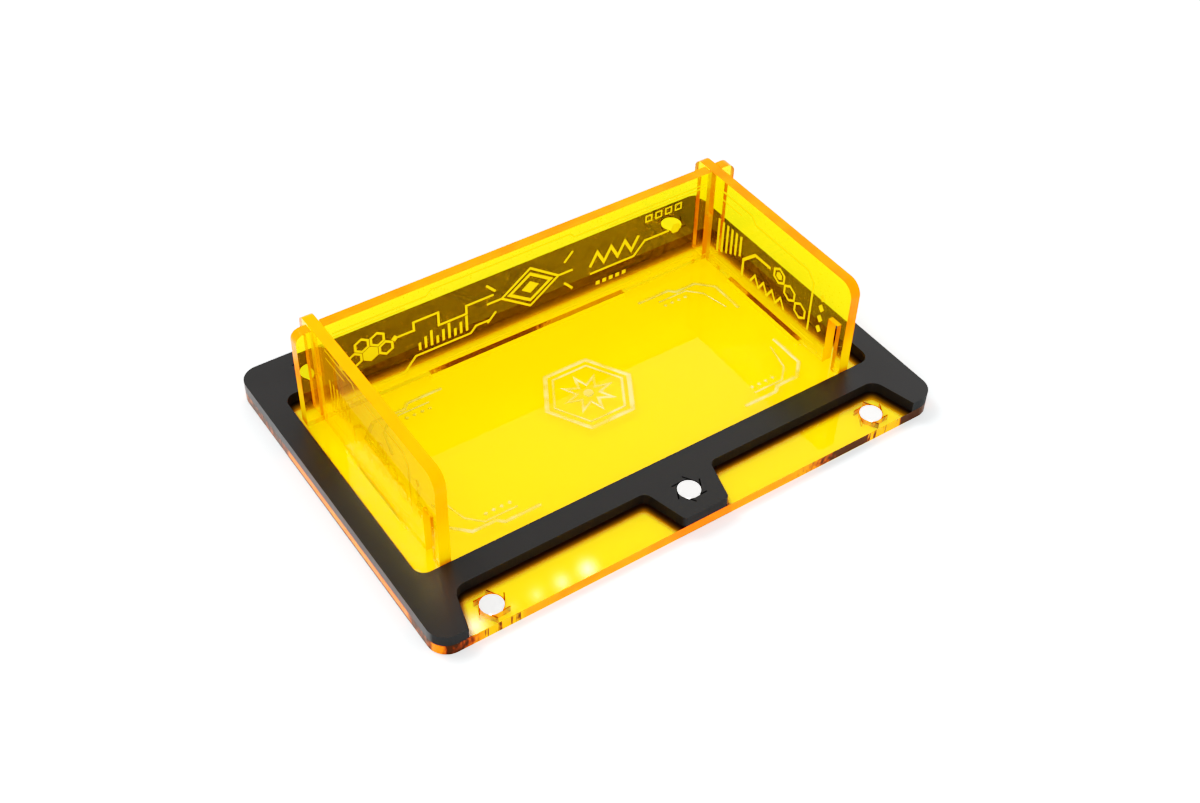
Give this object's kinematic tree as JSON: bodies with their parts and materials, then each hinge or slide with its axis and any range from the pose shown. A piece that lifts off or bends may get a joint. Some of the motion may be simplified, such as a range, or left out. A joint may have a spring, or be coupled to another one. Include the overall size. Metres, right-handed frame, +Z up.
{
  "type": "dice tray",
  "caption": "Open-fronted dice tray of clear yellow and black acrylic sheet: two bonded plates with a lap edge, slot-together back and side walls, pressed-in disc magnets.",
  "frame": {"origin": "middle of the lower plate's underside, where the tray rests", "axes": "+X to the right across the open front, +Y from the open front to the back wall, +Z up"},
  "size_m": [0.145, 0.101, 0.0324],
  "materials": {
    "clear_yellow_acrylic": "polished see-through tinted sheet with engraved lines",
    "black_acrylic": "polished opaque sheet",
    "nickel_plate": "bright nickel plate"
  },
  "bodies": {
    "tray": {"base_plate": "clear_yellow_acrylic", "frame_plate": "black_acrylic", "front_left_magnet": "nickel_plate", "front_right_magnet": "nickel_plate", "tongue_magnet": "nickel_plate", "rear_left_magnet": "nickel_plate", "rear_right_magnet": "nickel_plate"},
    "back": {"back_wall": "clear_yellow_acrylic"},
    "left": {"left_wall": "clear_yellow_acrylic"},
    "right": {"right_wall": "clear_yellow_acrylic"}
  },
  "joints": [
    {"name": "wall_set_lift", "type": "slide", "parent": "tray", "child": "back", "axis": [0, 0, 1], "range_m": [0, 0.04]},
    {"name": "left_wall_lift", "type": "slide", "parent": "back", "child": "left", "axis": [0, 0, 1], "range_m": [0, 0.04]},
    {"name": "right_wall_lift", "type": "slide", "parent": "back", "child": "right", "axis": [0, 0, 1], "range_m": [0, 0.04]}
  ]
}
